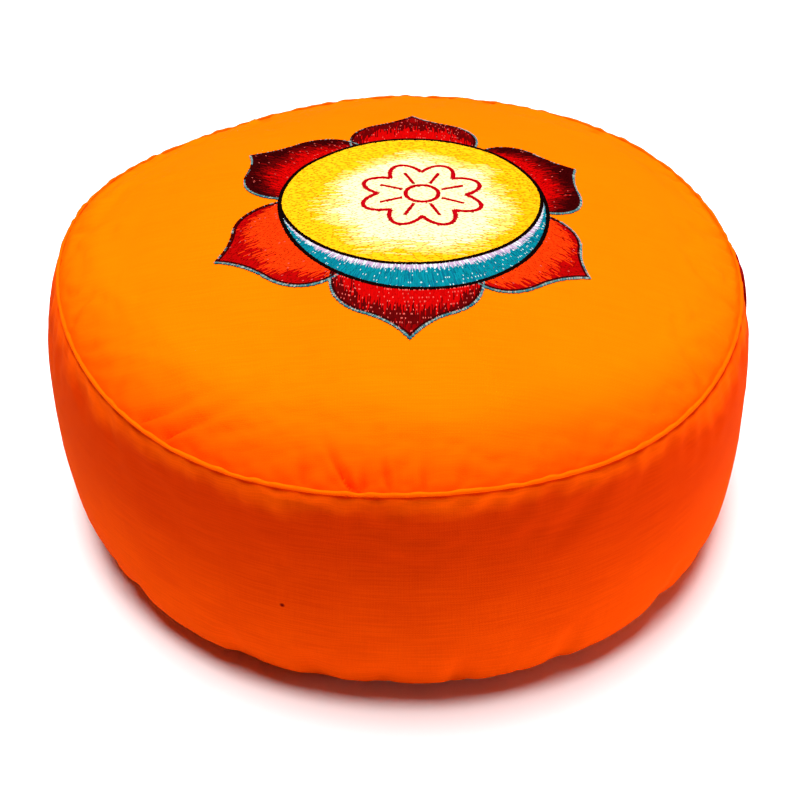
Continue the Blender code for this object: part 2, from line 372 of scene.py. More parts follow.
# One side of a petal, as two curves of four control points: along the axis and across it.
PETAL_LENGTH = 0.0965
PETAL_SHOULDER = ((0.0500, 0.0300), (0.0590, 0.0340), (0.0745, 0.0340), (0.0815, 0.0200))
PETAL_TIP = ((0.0815, 0.0200), (0.0850, 0.0110), (0.0900, 0.0050), (0.0965, 0.0))
PETAL_ROOT_RADIUS = 0.064
PETAL_UNDER_DISC = 0.0008
PETAL_LEAST = 0.0012
PETAL_TIP_SET = 0.004
PETAL_CORE = 0.5
# The threads of each kind of petal, and the share of the way out that each goes to.
PETAL_BLEND = 0.09
PETAL_THREADS = {
    "low_side": ((0.56, "orange_red"), (math.inf, "rim_red")),
    "high_side": ((0.34, "red"), (0.48, "wine"), (0.62, "dark_red"), (math.inf, "maroon")),
    "front": ((0.46, "red"), (0.84, "dark_red"), (math.inf, "wine")),
}
# The lines round a petal: inset, width, slant and unevenness.
INNER_LINE = (0.0009, 0.0012, 0.3, 0.12)
EDGING = (-0.0001, 0.0010, 0.5, 0.28)
EDGING_FACES_BACK = 0.45
EDGING_BACK = (("maroon", "grey_teal"), (0.8, 0.2))
EDGING_FRONT = (("grey_teal", "grey", "deep_teal"), (0.58, 0.30, 0.12))

# How unevenly the threads of each piece are dyed
DYE = {
    "petal_stitches": 0.08,
    "petal_glints": 0.15,
    "disc_stitches": 0.02,
    "crescent_stitches": 0.10,
    "crescent_glints": 0.10,
    "petal_inner_lines": 0.2,
    "petal_edging": 0.15,
    "disc_outline": 0.2,
    "rosette": 0.1,
}

# Thread colours, and how much of them the light leaves
THREAD_SHADE = 0.91
THREAD_ROUGHNESS = 0.60
FIBRE_SCALE = 2600.0
THREADS = {
    "red": (0.37, 0.0005, 0.0005),
    "rim_red": (0.29, 0.0005, 0.0006),
    "dark_red": (0.075, 0.0004, 0.0006),
    "maroon": (0.026, 0.0002, 0.0005),
    "black": (0.003, 0.0006, 0.0006),
    "wine": (0.16, 0.0004, 0.0006),
    "orange_red": (0.60, 0.026, 0.001),
    "teal": (0.001, 0.148, 0.190),
    "deep_teal": (0.001, 0.095, 0.150),
    "lavender": (0.36, 0.25, 0.36),
    "pale": (0.52, 0.58, 0.58),
    "grey_teal": (0.05, 0.14, 0.15),
    "grey": (0.22, 0.25, 0.22),
    "cream": (0.80, 0.63, 0.345),
    "lemon": (0.78, 0.46, 0.105),
    "yellow": (0.74, 0.365, 0.004),
    "gold": (0.68, 0.285, 0.001),
    # A painted highlight, not a thread: the colour of the glints laid on the petals.
    "glint_highlight": (0.62, 0.10, 0.08),
    "crimson": (0.30, 0.0005, 0.003),
}

# Floor and light. Each lamp: its place, size, power and what it is turned to.
FLOOR_SIZE = 8.0
FLOOR_COLOUR = (0.93, 0.93, 0.93, 1.0)
FLOOR_ROUGHNESS = 0.9
WORLD_LIGHT = 0.015
LAMPS = {
    "reflector": ((1.45, -0.12, 0.042), 0.076, 10.0, (0.0, 0.0, 0.075)),
    "overhead": ((-0.08, 0.03, 2.1), 1.5, 107.0, (-0.08, 0.03, 0.0)),
}

# The camera and the photograph's frame
PHOTO_PIXELS = 800
FOCAL_PIXELS = 1408.0
SENSOR_MM = 36.0
CAMERA_DISTANCE = 0.698
CAMERA_ELEVATION_DEG = 36.9
AIM_HEIGHT = 0.0641
AIM_PIXEL = (404.4, 367.2)


# Shapes of the drum, on arrays of azimuths in radians


def bell(distance, half_width):
    return np.exp(-((distance / half_width) ** 2))


def turn_between(azimuth, other):
    return np.remainder(azimuth - other + math.pi, 2 * math.pi) - math.pi


def waves_at(waves, azimuth):
    total = np.zeros_like(azimuth)
    for count, highest_at, height in waves:
        total += height * np.cos(count * (azimuth - math.radians(highest_at)))
    return total


def tuck(distance):
    """How far the cloth is pulled in beside the seam: nothing at the seam itself."""
    along = distance / SEAM_TUCK_WIDTH
    return SEAM_TUCK * along * np.exp((1.0 - along ** 2) / 2)


def ripple(azimuth):
    """The fine gathering along a seam, the same each run."""
    draw = np.random.default_rng(SEED)
    total = np.zeros_like(azimuth)
    for count in RIPPLE_COUNTS:
        total += draw.normal() * np.cos(count * azimuth + draw.uniform(0, 2 * math.pi))
    return RIPPLE_DEPTH * total


def gathers(azimuth, along):
    """The gathering at a distance from the seam: nothing at the seam itself, and fading out."""
    near = bell(along - RIPPLE_REACH / 2, RIPPLE_REACH)
    return ripple(azimuth) * near * (1.0 - bell(along, RIPPLE_SEWN))


def softness(azimuth, along):
    """Low, slow unevenness of a stuffed cloth, at a distance along the profile."""
    draw = np.random.default_rng(SEED + 1)
    total = np.zeros_like(azimuth)
    for count in SOFT_COUNTS:
        phase, run = draw.uniform(0, 2 * math.pi), draw.uniform(*SOFT_RUNS)
        total += np.cos(count * azimuth + phase + run * along) / math.sqrt(count)
    return SOFTNESS * total


def band_dents(azimuth, below):
    """Shallow hollows and swellings in the band a little way under the seam."""
    draw = np.random.default_rng(SEED + 4)
    total = np.zeros_like(azimuth)
    for _ in range(BAND_DENTS):
        across = turn_between(azimuth, draw.uniform(-math.pi, math.pi)) * BULGE_RADIUS
        wide, tall = draw.uniform(*DENT_HALF_WIDTHS), draw.uniform(*DENT_HALF_HEIGHTS)
        place, depth = draw.uniform(*DENT_DROPS), draw.uniform(*DENT_SHARES)
        total += depth * bell(across, wide) * bell(below - place, tall)
    return BAND_DENT_DEPTH * total


def front_crowded(count):
    """Azimuths of the cover's columns, closer together at the front where the finest folds are."""
    even = np.linspace(0.0, 2 * math.pi, count, endpoint=False)
    return even - FRONT_CROWDING * np.sin(even - math.radians(FRONT_CROWDING_DEG))


def seam_centre(azimuth):
    radius = SEAM_RADIUS + waves_at(SEAM_OUT_WAVES, azimuth)
    return radius, SEAM_HEIGHT + waves_at(SEAM_RISE_WAVES, azimuth)


def bulge_radius(azimuth):
    seam_out = waves_at(SEAM_OUT_WAVES, azimuth)
    return BULGE_RADIUS + waves_at(BULGE_OUT_WAVES, azimuth) + BULGE_SHARE_OF_SEAM * seam_out


def top_pucker(azimuth, radius, inward):
    dip = np.zeros_like(azimuth)
    for at, lean, depth, half_width, reach in PUCKERS:
        along = inward / reach
        across = turn_between(azimuth, np.radians(at + lean * along)) * radius
        wide = half_width * (1.0 + PUCKER_SPREAD * along)
        valley = bell(across, wide)
        for share, at_widths in PUCKER_BANKS:
            valley = valley - share * bell(across - at_widths * wide, wide)
        dip += depth * valley * bell(inward, reach)
    return dip * (1.0 - bell(inward, PUCKER_SEWN))


def top_point(azimuth, inward):
    """The top panel, at a distance in from the seam."""
    seam_radius, seam_height = seam_centre(azimuth)
    radius = np.maximum(seam_radius - inward, 0.0)
    share = radius / seam_radius
    height = SEAM_HEIGHT + CROWN_RISE * (1.0 - share ** CROWN_POWER)
    height += (seam_height - SEAM_HEIGHT) * share ** 2
    height -= top_pucker(azimuth, radius, inward)
    height -= TUCK_ON_TOP * tuck(inward)
    height += gathers(azimuth, inward)
    height += softness(azimuth, inward) * (1.0 - bell(inward, RIPPLE_REACH)) * share
    return radius, height


def band_top_point(azimuth, share):
    """The band between the seam (share 0) and the fullest bulge (share 1)."""
    seam_radius, seam_height = seam_centre(azimuth)
    bulge = bulge_radius(azimuth)
    radius = bulge + (seam_radius - bulge) * (1.0 - share) ** BAND_TOP_POWER
    height = seam_height + (BULGE_HEIGHT - seam_height) * share
    below = seam_height - height
    radius = radius - tuck(below)
    radius += RIPPLE_ON_BAND * gathers(azimuth + RIPPLE_BAND_TURN, below)
    radius -= band_dents(azimuth, below)
    radius += softness(azimuth, below) * (1.0 - bell(below, RIPPLE_REACH))
    return radius, height


def base_pucker(azimuth, height):
    dip = np.zeros_like(azimuth)
    for at, depth, half_width in BASE_PUCKERS:
        across = turn_between(azimuth, math.radians(at)) * BULGE_RADIUS
        dip += depth * bell(across, half_width)
    return dip * bell(height - BASE_PUCKER_HEIGHT, BASE_PUCKER_REACH)


def roll_point(azimuth, share):
    """The band below the bulge, at a share of the way out from the flat base."""
    height = BULGE_HEIGHT * (1.0 - (1.0 - share ** BASE_ROLL_POWER) ** (1.0 / BASE_ROLL_POWER))
    rise = math.sin(math.pi / 2 * height / BULGE_HEIGHT)
    radius = BASE_RADIUS + (BULGE_RADIUS - BASE_RADIUS) * share
    radius = radius + (bulge_radius(azimuth) - BULGE_RADIUS) * rise - base_pucker(azimuth, height)
    radius += softness(azimuth, SEAM_HEIGHT - height) * rise
    foot = bell(height - BASE_PUCKER_HEIGHT, BASE_PUCKER_REACH)
    radius += RIPPLE_AT_FOOT * ripple(azimuth + RIPPLE_FOOT_TURN) * foot
    return radius, np.full_like(azimuth, height)


def base_seam_point(azimuth, side, depth):
    out = BASE_SEAM_RADIUS + side * BASE_SEAM_HALF_WIDTH
    radius, height = roll_point(azimuth, (out - BASE_RADIUS) / (BULGE_RADIUS - BASE_RADIUS))
    return radius - BASE_SEAM_LEAN * depth, height + depth


def flat_point(azimuth, radius):
    return np.full_like(azimuth, radius), np.zeros_like(azimuth)


def in_space(azimuth, radius, height):
    return np.stack([radius * np.sin(azimuth), -radius * np.cos(azimuth), height], axis=-1)


# Meshes


def add_mesh(name, points, faces):
    mesh = bpy.data.meshes.new(name)
    mesh.from_pydata([tuple(p) for p in points], [], [tuple(f) for f in faces])
    mesh.update()
    mesh.shade_smooth()
    made = bpy.data.objects.new(name, mesh)
    bpy.context.scene.collection.objects.link(made)
    return made


def ring_faces(rings, around, closed=False):
    """Quads of a grid of points whose rows are closed rings."""
    index = np.arange(rings * around).reshape(rings, around)
    upper = index if closed else index[:-1]
    lower = np.roll(index, -1, axis=0) if closed else index[1:]
    quads = np.stack([upper, lower, np.roll(lower, -1, axis=1), np.roll(upper, -1, axis=1)], axis=-1)
    return quads.reshape(-1, 4)


def cover_rings(azimuth):
    """The cover's rings of points from the top down, and which panel each ring ends."""
    inward = np.concatenate([*(np.linspace(*span) for span in TOP_SPANS), TOP_AT_SEAM])
    rings = [(top_point(azimuth, i), "top") for i in inward]
    for share in np.concatenate([BAND_AT_SEAM, *(np.linspace(*span) for span in BAND_SPANS)]):
        rings.append((band_top_point(azimuth, share), "band"))
    for angle in np.linspace(*ROLL_SPAN):
        share = math.sin(math.radians(angle)) ** (2.0 / BASE_ROLL_POWER)
        rings.append((roll_point(azimuth, share), "band"))
    for side, depth in BASE_SEAM_GROOVE:
        rings.append((base_seam_point(azimuth, side, depth * BASE_SEAM_DEPTH), "base"))
    for radius in BASE_RADII:
        if radius > BASE_RADIUS:
            point = roll_point(azimuth, (radius - BASE_RADIUS) / (BULGE_RADIUS - BASE_RADIUS))
        else:
            point = flat_point(azimuth, radius)
        rings.append((point, "base"))
    return rings


def sewn_and_free(rings, azimuth):
    """How firmly each point of the cover is held, and how far the cloth's own folds may show there."""
    seam_radius, seam_height = seam_centre(azimuth)
    beside_strap = bell(turn_between(azimuth, math.radians(STRAP_AZIMUTH_DEG)), CLOTH_STRAP_REACH)
    held, free = [], []
    for (radius, height), panel in rings:
        sewn = bell(np.hypot(seam_radius - radius, seam_height - height), CLOTH_SEWN_REACH)
        if panel == "top":
            motif = bell(radius, CLOTH_MOTIF_REACH)
            held.append(np.maximum(sewn, motif))
            at_edge = (1.0 - CLOTH_TOP_LEAST) * bell(seam_radius - radius, CLOTH_TOP_REACH)
            free.append((1.0 - held[-1]) * (CLOTH_TOP_LEAST + at_edge))
        elif panel == "band":
            foot = bell(height, CLOTH_FOOT_REACH)
            held.append(np.maximum(sewn, foot))
            free.append(CLOTH_ON_BAND * (1.0 - sewn) * (1.0 - beside_strap) * (1.0 - foot))
        else:
            held.append(np.ones_like(azimuth))
            free.append(np.zeros_like(azimuth))
    return np.stack(held), np.stack(free)


def cloth_run(cover, held):
    """Inflates the cloth between its sewn edges and gives where each point of it has moved to."""
    group = cover.vertex_groups.new(name="sewn")
    for index, weight in enumerate(held):
        group.add([index], float(weight), "REPLACE")
    cloth = cover.modifiers.new("cloth", "CLOTH")
    for key, value in CLOTH_SETTINGS.items():
        setattr(cloth.settings, key, value)
    cloth.settings.effector_weights.gravity = 0.0
    cloth.collision_settings.use_collision = False
    for step in range(1, CLOTH_STEPS + 1):
        bpy.context.scene.frame_set(step)
    settled = cover.evaluated_get(bpy.context.evaluated_depsgraph_get()).to_mesh()
    moved = np.empty(len(settled.vertices) * 3)
    settled.vertices.foreach_get("co", moved)
    bpy.context.scene.frame_set(1)
    return moved.reshape(-1, 3)


def cloth_folds(azimuth):
    """The small folds the loose cloth falls into, outward and upward, for every ring of the cover."""
    coarse = np.linspace(0.0, 2 * math.pi, CLOTH_AROUND, endpoint=False)
    rings = cover_rings(coarse)
    chosen = np.unique(np.append(np.arange(0, len(rings), CLOTH_RING_STEP), len(rings) - 1))
    picked_rings = [rings[i] for i in chosen]
    points = np.stack([in_space(coarse, *point) for point, _ in picked_rings])
    count = points.shape[0] * points.shape[1]
    middles = np.array([(0.0, 0.0, SEAM_HEIGHT + CROWN_RISE), (0.0, 0.0, 0.0)])
    trial = add_mesh("cloth_trial", np.concatenate([points.reshape(-1, 3), middles]),
                     cover_faces(len(chosen), CLOTH_AROUND))
    held, _ = sewn_and_free(picked_rings, coarse)
    moved = cloth_run(trial, np.concatenate([held.ravel(), (1.0, 1.0)]))
    bpy.data.objects.remove(trial)

    shift = moved[:count].reshape(points.shape) - points
    out = np.stack([np.sin(coarse), -np.cos(coarse)], -1)
    local = np.stack([(shift[..., :2] * out).sum(-1), shift[..., 2]], -1)
    slow = np.fft.rfft(local, axis=1)
    slow[:, :CLOTH_SLOWEST] = 0.0
    fine = np.zeros((len(chosen), len(azimuth) // 2 + 1, 2), complex)
    fine[:, :slow.shape[1]] = slow
    even = np.fft.irfft(fine, n=len(azimuth), axis=1) * len(azimuth) / CLOTH_AROUND
    turns = np.linspace(0.0, 2 * math.pi, len(azimuth), endpoint=False)
    folds = np.stack([[np.interp(azimuth, turns, row[:, part], period=2 * math.pi) for part in (0, 1)]
                      for row in even]).transpose(0, 2, 1)
    size = np.linalg.norm(folds, axis=-1, keepdims=True)
    folds *= np.tanh(size / CLOTH_CAP) * CLOTH_CAP / np.maximum(size, 1e-9)
    place = np.interp(np.arange(len(rings)), chosen, np.arange(len(chosen)))
    low = np.minimum(place.astype(int), len(chosen) - 2)
    share = (place - low)[:, None, None]
    return folds[low] * (1.0 - share) + folds[low + 1] * share


def lay_folds(rings, azimuth, folds):
    """The rings of the cover with the folds laid on."""
    _, free = sewn_and_free(rings, azimuth)
    laid = []
    for ((radius, height), panel), fold, loose in zip(rings, folds, free):
        laid.append(((radius + fold[:, 0] * loose, height + fold[:, 1] * loose), panel))
    return laid


def cover_faces(rings, around):
    """Faces of a cover whose two middle points follow its rings of points."""
    faces = [tuple(f) for f in ring_faces(rings, around)]
    last, top_middle, base_middle = (rings - 1) * around, rings * around, rings * around + 1
    for i in range(around):
        after = (i + 1) % around
        faces.append((top_middle, i, after))
        faces.append((base_middle, last + after, last + i))
    return faces


def build_cover(panel_cloth, band_cloth):
    azimuth = front_crowded(AROUND)
    rings = cover_rings(azimuth)
    rings = lay_folds(rings, azimuth, cloth_folds(azimuth))
    points = np.concatenate([in_space(azimuth, *point) for point, _ in rings])
    middles = [(0.0, 0.0, SEAM_HEIGHT + CROWN_RISE), (0.0, 0.0, 0.0)]
    cover = add_mesh("cotton_cover", np.concatenate([points, middles]), cover_faces(len(rings), AROUND))
    add_crease_shade(cover, rings, azimuth)
    cover.data.materials.append(panel_cloth)
    cover.data.materials.append(band_cloth)
    on_band = [panel == "band" for _, panel in rings]
    for face in cover.data.polygons:
        ring = min(max(face.vertices) // AROUND, len(rings) - 1)
        face.material_index = int(on_band[ring])
    return cover


def build_welt():
    """A thin rounded fold of the same cloth all round the top seam."""
    azimuth = np.linspace(0.0, 2 * math.pi, WELT_AROUND, endpoint=False)
    radius, height = seam_centre(azimuth)
    draw = np.random.default_rng(SEED + 2)
    wobble = np.zeros_like(azimuth)
    for count in WELT_COUNTS:
        wobble += draw.normal() * np.cos(count * azimuth + draw.uniform(0, 2 * math.pi))
    rings = []
    for turn in np.linspace(0.0, 2 * math.pi, WELT_SIDES, endpoint=False):
        reach = WELT_GIRTH * (1.0 + WELT_UNEVEN * wobble)
        rings.append(in_space(azimuth, radius + reach * math.cos(turn) + WELT_OUT,
                              height + reach * math.sin(turn) + WELT_WANDER * wobble))
    return add_mesh("welt_fold", np.concatenate(rings), ring_faces(WELT_SIDES, WELT_AROUND, closed=True))


def add_crease_shade(cover, rings, azimuth):
    """How much painted shade each point of the cover takes, in the puckers, beside the seam and in a thin
    shadow line under the welt, and how far below the seam it lies, for its colour.
    """
    seam_radius, seam_height = seam_centre(azimuth)
    folds, drops = [], []
    for (radius, height), panel in rings:
        away = np.hypot(seam_radius - radius, seam_height - height)
        drops.append(seam_height - height)
        if panel == "top":
            # Painted shade in the puckers' valleys and in a line beside the seam.
            dip = top_pucker(azimuth, radius, np.maximum(seam_radius - radius, 0.0))
            sharp = np.maximum(dip / CREASE_SHADE_DEPTH, 0.0) ** 2
            beside_seam = SEAM_LINE_SHADE * bell(away - SEAM_LINE_SHADE_AWAY, SEAM_LINE_SHADE_HALF)
            folds.append(np.clip(beside_seam + sharp, 0.0, 1.0))
        elif panel == "band":
            # A painted shadow line just under the welt.
            folds.append(bell(drops[-1] - WELT_SHADOW_DROP, WELT_SHADOW_HALF))
        else:
            folds.append(np.zeros_like(azimuth))
    for name, values in (("crease", folds), ("drop", drops)):
        data = cover.data.attributes.new(name, "FLOAT", "POINT")
        data.data.foreach_set("value", np.concatenate([*values, (0.0, 0.0)]).astype(np.float32))


def node(tree, kind, **values):
    """A shader node with some of its inputs set."""
    made = tree.nodes.new("ShaderNode" + kind)
    for key, value in values.items():
        made.inputs[key].default_value = value
    return made


def math_node(tree, operation, first, second=None):
    """A Math node fed by sockets or by numbers."""
    made = tree.nodes.new("ShaderNodeMath")
    made.operation = operation
    for index, value in enumerate((first, second)):
        if isinstance(value, (int, float)):
            made.inputs[index].default_value = value
        elif value is not None:
            tree.links.new(value, made.inputs[index])
    return made.outputs[0]


def mixed_colour(tree, factor, first, second):
    """A colour between two, each a tuple or a socket."""
    made = tree.nodes.new("ShaderNodeMix")
    made.data_type = "RGBA"
    tree.links.new(factor, made.inputs["Factor"])
    for key, value in (("A", first), ("B", second)):
        if isinstance(value, tuple):
            made.inputs[key].default_value = (*value, 1.0)
        else:
            tree.links.new(value, made.inputs[key])
    return made.outputs["Result"]


def map_range(tree, value, low, high, to_low=0.0, to_high=1.0):
    made = tree.nodes.new("ShaderNodeMapRange")
    made.interpolation_type = "SMOOTHSTEP"
    tree.links.new(value, made.inputs["Value"])
    for key, number in (("From Min", low), ("From Max", high), ("To Min", to_low), ("To Max", to_high)):
        made.inputs[key].default_value = number
    return made.outputs["Result"]


def noise(tree, vector, scale, detail=3.0):
    made = node(tree, "TexNoise", Scale=scale, Detail=detail)
    tree.links.new(vector, made.inputs["Vector"])
    return made.outputs["Fac"]


def noise_about_zero(tree, point, scale, size):
    value = math_node(tree, "SUBTRACT", noise(tree, point, scale), 0.5)
    return math_node(tree, "MULTIPLY", value, size)


def attribute(tree, name):
    made = tree.nodes.new("ShaderNodeAttribute")
    made.attribute_name = name
    return made


def distance_from(tree, point, place):
    made = tree.nodes.new("ShaderNodeVectorMath")
    made.operation = "DISTANCE"
    made.inputs[1].default_value = place
    tree.links.new(point, made.inputs[0])
    return made.outputs["Value"]


def new_material(name, roughness):
    material = bpy.data.materials.new(name)
    material.use_nodes = True
    shader = material.node_tree.nodes["Principled BSDF"]
    shader.inputs["Roughness"].default_value = roughness
    shader.inputs["Specular IOR Level"].default_value = SPECULAR
    return material, material.node_tree, shader


def cloth_coordinates(tree, round_the_band):
    """Distances along the two threads of the cloth, and the point itself."""
    coords = tree.nodes.new("ShaderNodeTexCoord")
    split = tree.nodes.new("ShaderNodeSeparateXYZ")
    tree.links.new(coords.outputs["Object"], split.inputs["Vector"])
    x, y, z = split.outputs
    if round_the_band:
        turn = math_node(tree, "ARCTAN2", x, math_node(tree, "MULTIPLY", y, -1.0))
        return math_node(tree, "MULTIPLY", turn, BULGE_RADIUS), z, coords.outputs["Object"]
    return x, y, coords.outputs["Object"]


def wandering(tree, value, point, scale):
    """Threads do not run dead straight: a small slow drift."""
    return math_node(tree, "ADD", value, noise_about_zero(tree, point, scale, THREAD_DRIFT))


def weave_height(tree, across, up, pitch):
    """Plain weave: each thread goes over one and under the next."""
    warp = math_node(tree, "SINE", math_node(tree, "MULTIPLY", across, math.pi / pitch))
    weft = math_node(tree, "SINE", math_node(tree, "MULTIPLY", up, math.pi / pitch))
    over = math_node(tree, "GREATER_THAN", math_node(tree, "MULTIPLY", warp, weft), 0.0)
    warp_top = math_node(tree, "MULTIPLY", math_node(tree, "ABSOLUTE", warp), over)
    under = math_node(tree, "SUBTRACT", 1.0, over)
    weft_top = math_node(tree, "MULTIPLY", math_node(tree, "ABSOLUTE", weft), under)
    return math_node(tree, "ADD", warp_top, weft_top)


def thread_slubs(tree, across, up):
    """Long thin patches along each thread, where the yarn is a little thicker or paler."""
    total = None
    for along, cross, weight in SLUBS:
        joined = tree.nodes.new("ShaderNodeCombineXYZ")
        tree.links.new(math_node(tree, "MULTIPLY", across, along), joined.inputs["X"])
        tree.links.new(math_node(tree, "MULTIPLY", up, cross), joined.inputs["Y"])
        value = math_node(tree, "MULTIPLY", noise(tree, joined.outputs["Vector"], 1.0, 1.0), weight)
        total = value if total is None else math_node(tree, "ADD", total, value)
    return total


def add_bump(tree, shader, height, strength, distance):
    bump = node(tree, "Bump", Strength=strength, Distance=distance)
    tree.links.new(height, bump.inputs["Height"])
    tree.links.new(bump.outputs["Normal"], shader.inputs["Normal"])


def cotton(name, round_the_band, light, deep):
    """Orange plain-woven cotton. The weave runs flat on the panels and round on the band."""
    material, tree, shader = new_material(name, COTTON_ROUGHNESS)
    shader.inputs["Sheen Weight"].default_value = SHEEN
    shader.inputs["Sheen Roughness"].default_value = SHEEN_ROUGHNESS
    shader.inputs["Sheen Tint"].default_value = COTTON_SHEEN_TINT
    across, up, point = cloth_coordinates(tree, round_the_band)
    across = wandering(tree, across, point, ACROSS_DRIFT_SCALE)
    up = wandering(tree, up, point, UP_DRIFT_SCALE)
    if round_the_band:
        # Painted light and shade on the band, by distance below the seam: lit just under it, darkest lower
        # down, and lighter again towards the foot.
        patches = noise_about_zero(tree, point, PATCH_SCALE, BAND_PATCHES)
        level = math_node(tree, "ADD", attribute(tree, "drop").outputs["Fac"], patches)
        lit_under_seam = map_range(tree, level, BAND_SHADE_DROP, 0.0)
        shade_ramp = map_range(tree, level, BAND_SHADE_DROP, BAND_FOOT_DROP)
    else:
        # Painted shade: the crown's orange deepens towards its rim, more at the front than at the back.
        flat = tree.nodes.new("ShaderNodeVectorMath")
        flat.operation = "MULTIPLY"
        flat.inputs[1].default_value = CROWN_SHADE_STRETCH
        tree.links.new(point, flat.inputs[0])
        length = distance_from(tree, flat.outputs["Vector"], CROWN_SHADE_CENTRE)
        shade_ramp = map_range(tree, length, CROWN_SHADE_TO, CROWN_SHADE_FROM)
    mottle = noise_about_zero(tree, point, MOTTLE_SCALE, MOTTLE)
    colour = mixed_colour(tree, math_node(tree, "ADD", shade_ramp, mottle), deep, light)
    if round_the_band:
        # Painted light just under the seam.
        colour = mixed_colour(tree, lit_under_seam, colour, BAND_LIT_ORANGE)
    slubs = map_range(tree, thread_slubs(tree, across, up), *SLUB_RANGE)
    tint = mixed_colour(tree, slubs, THIN_YARN_BAND if round_the_band else THIN_YARN_PANEL, NO_TINT)
    weave = weave_height(tree, across, up, WEAVE_PITCH)
    # Painted shade between the threads of the weave.
    gaps = mixed_colour(tree, map_range(tree, weave, 0.0, 0.5), WEAVE_GAP_SHADE, NO_TINT)
    # Painted shade in the puckers, beside the seam and under the welt.
    folds = mixed_colour(tree, attribute(tree, "crease").outputs["Fac"], NO_TINT, FOLD_SHADE_TINT)
    for layer in (tint, gaps, folds):
        blend = tree.nodes.new("ShaderNodeMix")
        blend.data_type = "RGBA"
        blend.blend_type = "MULTIPLY"
        blend.inputs["Factor"].default_value = 1.0
        tree.links.new(colour, blend.inputs["A"])
        tree.links.new(layer, blend.inputs["B"])
        colour = blend.outputs["Result"]
    if round_the_band:
        colour = mixed_colour(tree, fleck(tree, point), colour, FLECK_COLOUR)
    tree.links.new(colour, shader.inputs["Base Color"])
    nap = math_node(tree, "MULTIPLY", noise(tree, point, NAP_SCALE), NAP)
    add_bump(tree, shader, math_node(tree, "ADD", weave, nap), *COTTON_BUMP)
    return material


def fleck(tree, point):
    """One small dark speck of lint spun into the band."""
    away = distance_from(tree, point, FLECK_PLACE)
    return map_range(tree, away, FLECK_RADIUS, FLECK_CORE * FLECK_RADIUS)


def webbing(name, colour):
    """Dark red woven band: fine crosswise ribs with flecks of lighter yarn."""
    material, tree, shader = new_material(name, STRAP_ROUGHNESS)
    shader.inputs["Sheen Weight"].default_value = SHEEN
    shader.inputs["Sheen Tint"].default_value = STRAP_SHEEN_TINT
    across, up, _ = cloth_coordinates(tree, True)
    flecks = map_range(tree, thread_slubs(tree, across, up), *STRAP_SLUB_RANGE)
    darker = tuple(part * STRAP_THIN_YARN for part in colour)
    tree.links.new(mixed_colour(tree, flecks, darker, colour), shader.inputs["Base Color"])
    add_bump(tree, shader, weave_height(tree, across, up, STRAP_WEAVE_PITCH), *STRAP_BUMP)
    return material


def thread(name):
    """Glossy embroidery thread, coloured stitch by stitch."""
    material, tree, shader = new_material(name, THREAD_ROUGHNESS)
    coords = tree.nodes.new("ShaderNodeTexCoord")
    fibres = noise(tree, coords.outputs["Object"], FIBRE_SCALE, 2.0)
    tree.links.new(attribute(tree, "thread").outputs["Color"], shader.inputs["Base Color"])
    add_bump(tree, shader, fibres, *THREAD_BUMP)
    return material


def paint(piece, material):
    piece.data.materials.clear()
    piece.data.materials.append(material)


def build_stage():
    bpy.ops.mesh.primitive_plane_add(size=FLOOR_SIZE, location=(0.0, 0.0, 0.0))
    floor = bpy.context.object
    floor.name = "floor"
    material = bpy.data.materials.new("floor_paper")
    material.use_nodes = True
    shader = material.node_tree.nodes["Principled BSDF"]
    shader.inputs["Base Color"].default_value = FLOOR_COLOUR
    shader.inputs["Roughness"].default_value = FLOOR_ROUGHNESS
    paint(floor, material)


def add_softbox(name, place, size, power, aim):
    data = bpy.data.lights.new(name, "AREA")
    data.shape = "DISK"
    data.size = size
    data.energy = power
    lamp = bpy.data.objects.new(name, data)
    lamp.location = place
    lamp.rotation_euler = (Vector(aim) - Vector(place)).to_track_quat("-Z", "Y").to_euler()
    lamp.visible_camera = False
    bpy.context.scene.collection.objects.link(lamp)


def build_light():
    world = bpy.data.worlds.new("studio")
    bpy.context.scene.world = world
    world.use_nodes = True
    background = world.node_tree.nodes["Background"]
    background.inputs["Color"].default_value = (1.0, 1.0, 1.0, 1.0)
    background.inputs["Strength"].default_value = WORLD_LIGHT
    for name, lamp in LAMPS.items():
        add_softbox(name, *lamp)
    bpy.context.scene.view_settings.view_transform = "Standard"


def build_camera():
    elevation = math.radians(CAMERA_ELEVATION_DEG)
    data = bpy.data.cameras.new("camera")
    data.sensor_width = SENSOR_MM
    data.lens = FOCAL_PIXELS / PHOTO_PIXELS * SENSOR_MM
    data.shift_x = (PHOTO_PIXELS / 2 - AIM_PIXEL[0]) / PHOTO_PIXELS
    data.shift_y = (AIM_PIXEL[1] - PHOTO_PIXELS / 2) / PHOTO_PIXELS
    camera = bpy.data.objects.new("camera", data)
    back = Vector((0.0, -math.cos(elevation), math.sin(elevation)))
    camera.location = Vector((0.0, 0.0, AIM_HEIGHT)) + back * CAMERA_DISTANCE
    camera.rotation_euler = (-back).to_track_quat("-Z", "Y").to_euler()
    bpy.context.scene.collection.objects.link(camera)
    bpy.context.scene.camera = camera


# The strap


def strap_sections():
    """The strap's course down the band: a function of the azimuth for each row, from the top."""
    top_share = STRAP_TOP_CLEARANCE / (SEAM_HEIGHT - BULGE_HEIGHT)
    foot_share = (STRAP_FOOT_RADIUS - BASE_RADIUS) / (BULGE_RADIUS - BASE_RADIUS)
    foot_deg = math.degrees(math.asin(foot_share ** (BASE_ROLL_POWER / 2.0)))
    shares = np.linspace(top_share, 1.0, STRAP_UPPER_ROWS)
    course = [lambda a, s=share: band_top_point(a, s) for share in shares]
    for angle in np.linspace(89.0, foot_deg, STRAP_LOWER_ROWS):
        share = math.sin(math.radians(angle)) ** (2.0 / BASE_ROLL_POWER)
        course.append(lambda a, s=share: roll_point(a, s))
    return course


